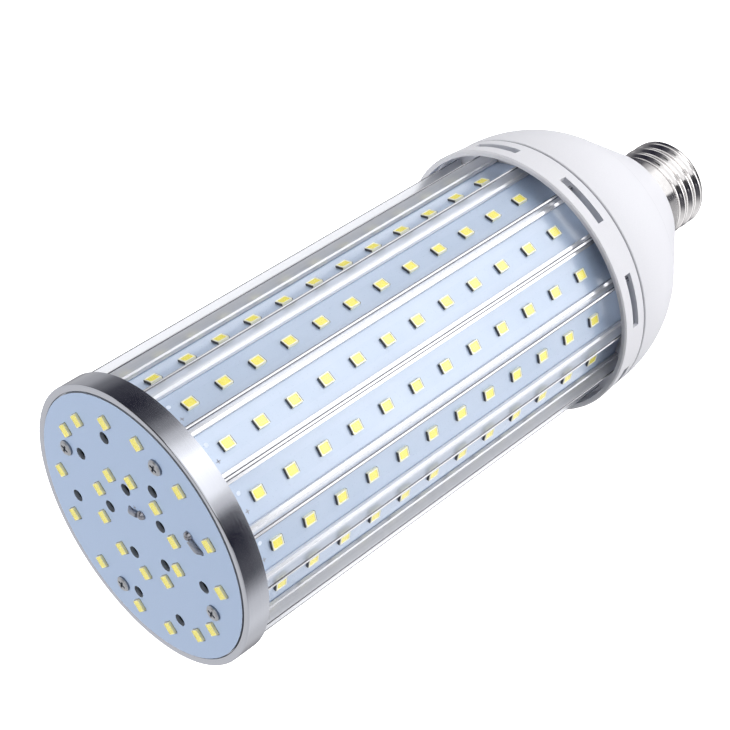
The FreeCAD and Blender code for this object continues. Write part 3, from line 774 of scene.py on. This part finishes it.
def build_head_leds():
    """LED packages of the disc on dark pads, real pads with painted contact shade round their feet, each
    turned to lie across the disc's own axis.
    """
    across = Matrix.Rotation(math.pi / 2, 4, "Z")
    along = Vector((math.cos(DISC_TURN), math.sin(DISC_TURN), 0.0))
    axes = (along, UP.cross(along), UP)
    bm = bmesh.new()
    for cloud in solids_of("head_leds"):
        place, size = seat_of(cloud, axes)
        add_led(bm, place @ across, size, DISC_LED_RIM, DISC_TERMINAL_TALL)
        # Pad that shows past the package's sides: painted contact shade at its foot
        half_x = size[0] / 2 - TERMINAL_LONG - LED_CORNER
        half_y = size[1] / 2 + DISC_PAD_SHADE_MARGIN
        pad_shade_low = (-half_x, -half_y, 0.0)
        pad_shade_high = (half_x, half_y, DISC_PAD_SHADE_TALL)
        box_between(bm, place @ across, pad_shade_low, pad_shade_high, LED_TERMINAL_AND_SHADE)
    turn = DISC_TURN + DISC_PLUS_TURN
    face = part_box("head_board")[1].z
    spot = Vector((DISC_PLUS_REACH * math.cos(turn), DISC_PLUS_REACH * math.sin(turn), face))
    add_plus(bm, Matrix.Translation(spot) @ Matrix.Rotation(DISC_TURN, 4, "Z"))
    piece_from(bm, "head_led_set", DISC_LED_MATERIALS, "led_package", "head_leds")


def build_head_ring():
    """Turned ring with a rounded edge, and a lip that slopes to a gap beside the disc."""
    low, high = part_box("head_ring")
    disc_low, disc_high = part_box("head_board")
    outer = high.x
    inner = disc_high.x + RING_GAP
    crown = (outer - RING_CROWN, high.z - RING_CROWN)
    edge = (inner + RING_BREAK, high.z - RING_SLOPE - RING_BREAK)
    profile = [(RING_BORE, low.z), (outer, low.z)]
    profile += arc(crown, RING_CROWN, 0, 90, RING_CROWN_STEPS)
    profile += arc(edge, RING_BREAK, 90, 180, RING_BREAK_STEPS)
    profile += [(inner, disc_low.z), (RING_BORE, disc_low.z)]
    bm = bmesh.new()
    lathe(bm, profile, RING_STEPS)
    ring = piece_from(bm, "turned_head_ring", (RING_METAL,), "ring_aluminium", "head_ring")
    keep_sharp_edges(ring)


def thread_weight(depth):
    """How far the thread has grown at a depth below the neck, from 0 to 1."""
    grown = min(1.0, max(0.0, (depth - THREAD_START) / THREAD_FADE))
    return grown * grown * (3 - 2 * grown)


def shell_loop(bm, radius, z, top, inset):
    """Loop of the shell at one height, with its share of the thread."""
    weight = thread_weight(top - z)
    loop = []
    for step, turn in enumerate(turns_of(SHELL_STEPS)):
        phase = (top - z) / THREAD_PITCH + step / SHELL_STEPS
        groove = THREAD_DEPTH * weight * (0.5 - 0.5 * math.cos(2 * math.pi * phase))
        reach = radius - groove - inset
        loop.append(bm.verts.new((reach * math.cos(turn), reach * math.sin(turn), z)))
    return loop


def build_screw_shell():
    """Rolled shell of the cap with its rounded thread, turned in at its end."""
    low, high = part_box("screw_shell")
    radius = high.x
    straight = low.z + SHELL_ROUND
    outer_rows = heights(high.z, straight, SHELL_ROWS)
    inner_rows = heights(high.z, straight, SHELL_INNER_ROWS)
    turned_in = arc((radius - SHELL_ROUND, straight), SHELL_ROUND, 0, -90, SHELL_ROUND_STEPS)[1:]
    turned_in.append((SHELL_MOUTH, low.z))
    bm = bmesh.new()
    outside = [shell_loop(bm, radius, z, high.z, 0.0) for z in outer_rows]
    inside = [shell_loop(bm, radius, z, high.z, SHELL_SHEET) for z in inner_rows]
    for reach, z in turned_in:
        outside.append(ring_loop(bm, reach, z, SHELL_STEPS))
    for reach in (radius - SHELL_ROUND, SHELL_MOUTH):
        inside.append(ring_loop(bm, reach, low.z + SHELL_SHEET, SHELL_STEPS))
    bridge(bm, outside + inside[::-1] + [outside[0]], smooth=True)
    shell = piece_from(bm, "threaded_shell", (NICKEL,), "shell_nickel", "screw_shell")
    keep_sharp_edges(shell)


def build_solder():
    """Domes of solder where the two leads end."""
    bm = bmesh.new()
    for cloud in solids_of("head_solder"):
        low = Vector([min(point[axis] for point in cloud) for axis in range(3)])
        high = Vector([max(point[axis] for point in cloud) for axis in range(3)])
        middle = (low + high) / 2
        loops = []
        for degrees in SOLDER_LEVELS:
            level = math.radians(degrees)
            reach = SOLDER_RADIUS * math.cos(level) ** SOLDER_SLOPE
            lift = low.z + (high.z - low.z) * math.sin(level)
            loops.append(ring_loop(bm, reach, lift, SOLDER_STEPS, middle.x, middle.y))
        bridge(bm, loops, smooth=True)
        cap(bm, loops[-1], smooth=True)
        cap(bm, loops[0])
    piece_from(bm, "solder_domes", (SOLDER,), "solder", "head_solder")


def build_camera():
    """Camera that sees the bulb as the photograph does."""
    forward = (AIM - EYE).normalized()
    level = forward.cross(UP).normalized()
    upright = level.cross(forward)
    up = upright * math.cos(ROLL) + level * math.sin(ROLL)
    right = forward.cross(up)
    data = bpy.data.cameras.new("camera")
    data.lens = LENS
    data.sensor_width = SENSOR
    data.clip_start = CLIP_START
    data.clip_end = CLIP_END
    camera = bpy.data.objects.new("camera", data)
    camera.matrix_world = Matrix.Translation(EYE) @ Matrix((right, up, -forward)).transposed().to_4x4()
    bpy.context.scene.collection.objects.link(camera)
    bpy.context.scene.camera = camera


def white_table():
    """White surface that glows, for the floor and the backdrop."""
    made, _, shader = node_tree("floor_white")
    shader.inputs["Base Color"].default_value = (0.5, 0.5, 0.5, 1.0)
    shader.inputs["Roughness"].default_value = 0.9
    shader.inputs["Emission Color"].default_value = (1.0, 1.0, 1.0, 1.0)
    shader.inputs["Emission Strength"].default_value = FLOOR_GLOW
    return made


def build_floor():
    """White light table under the bulb, and a white wall round it that only the camera sees."""
    made = white_table()
    foot = cad_box[0].z
    half = FLOOR_SIZE / 2
    bm = bmesh.new()
    corners = ((-half, -half), (half, -half), (half, half), (-half, half))
    bm.faces.new([bm.verts.new((x, y, foot)) for x, y in corners])
    stage_from(bm, "floor", made, "glossy")
    bm = bmesh.new()
    lathe(bm, ((half, foot), (half, foot + BACKDROP_HIGH)), BACKDROP_STEPS, closed=False)
    stage_from(bm, "backdrop", made, "glossy", "diffuse", "shadow", "transmission")


def tone_ramp(tree, turn, tones):
    """Socket with a brightness that follows a bearing."""
    node = linked(tree, "ShaderNodeValToRGB", {0: turn})
    node.color_ramp.interpolation = "EASE"
    stops = node.color_ramp.elements
    while len(stops) < len(tones):
        stops.new(0.5)
    for stop, (degrees, tone) in zip(stops, tones):
        stop.position = degrees / 360.0 + 0.5
        share = tone / TENT_GLOW
        stop.color = (share, share, share + TENT_COOL / TENT_GLOW, 1.0)
    return node.outputs[0]


def tent_material():
    """Light wall with a band of tones for each part of the bulb that mirrors it."""
    made, tree, shader = node_tree("tent_tones")
    tree.nodes.remove(shader)
    x, y, z = place_parts(tree)
    bearing = math_node(tree, "ARCTAN2", y, x)
    turn = linked(tree, "ShaderNodeMapRange", {0: bearing, 1: -math.pi, 2: math.pi}).outputs[0]
    shade = tone_ramp(tree, turn, CAP_TONES)
    for low, tones in ((TENT_SPLIT, STRIP_TONES), (TENT_BAND, RING_TONES), (TENT_SKY, TOP_TONES)):
        above = math_node(tree, "GREATER_THAN", z, low)
        shade = blend(tree, above, shade, tone_ramp(tree, turn, tones))
    glow = linked(tree, "ShaderNodeEmission", {"Color": shade, "Strength": TENT_GLOW})
    tree.links.new(glow.outputs[0], tree.nodes["Material Output"].inputs["Surface"])
    return made


def build_tent():
    """Round wall of a light tent, with low gaps on the camera's side, seen only as reflections."""
    bm = bmesh.new()
    low = ring_loop(bm, TENT_RADIUS, TENT_LOW, TENT_STEPS)
    high = ring_loop(bm, TENT_RADIUS, TENT_HIGH, TENT_STEPS)
    for vert in high:
        bearing = math.degrees(math.atan2(vert.co.y, vert.co.x))
        if any(start < bearing < end for start, end in TENT_GAPS):
            vert.co.z = TENT_BROW
    bridge(bm, [low, high])
    tent = stage_from(bm, "tent", tent_material(), "camera", "diffuse", "shadow", "transmission")
    tent.rotation_euler.z = math.atan2(EYE.y, EYE.x)


def add_softbox(name, azimuth, elevation, distance, size, power):
    """Softbox aimed at the middle of the bulb."""
    data = bpy.data.lights.new(name, "AREA")
    data.energy = power
    data.size = size
    lamp = bpy.data.objects.new(name, data)
    a = math.radians(azimuth)
    e = math.radians(elevation)
    back = Vector((math.cos(a) * math.cos(e), math.sin(a) * math.cos(e), math.sin(e)))
    lamp.location = UP * LIGHT_HEIGHT + back * distance
    lamp.rotation_mode = "QUATERNION"
    lamp.rotation_quaternion = back.to_track_quat("Z", "Y")
    lamp.visible_glossy = False
    bpy.context.scene.collection.objects.link(lamp)


def build_light():
    """Soft studio light."""
    world = bpy.data.worlds.new("studio")
    world.use_nodes = True
    background = world.node_tree.nodes["Background"]
    background.inputs["Color"].default_value = (1.0, 1.0, 1.0, 1.0)
    background.inputs["Strength"].default_value = WORLD_GLOW
    bpy.context.scene.world = world
    for softbox in SOFTBOXES:
        add_softbox(*softbox)
    bpy.context.scene.view_settings.view_transform = "Standard"


dress_kept_nodes()
build_strip_leds()
build_head_leds()
build_head_ring()
build_screw_shell()
build_solder()
build_camera()
build_floor()
build_tent()
build_light()
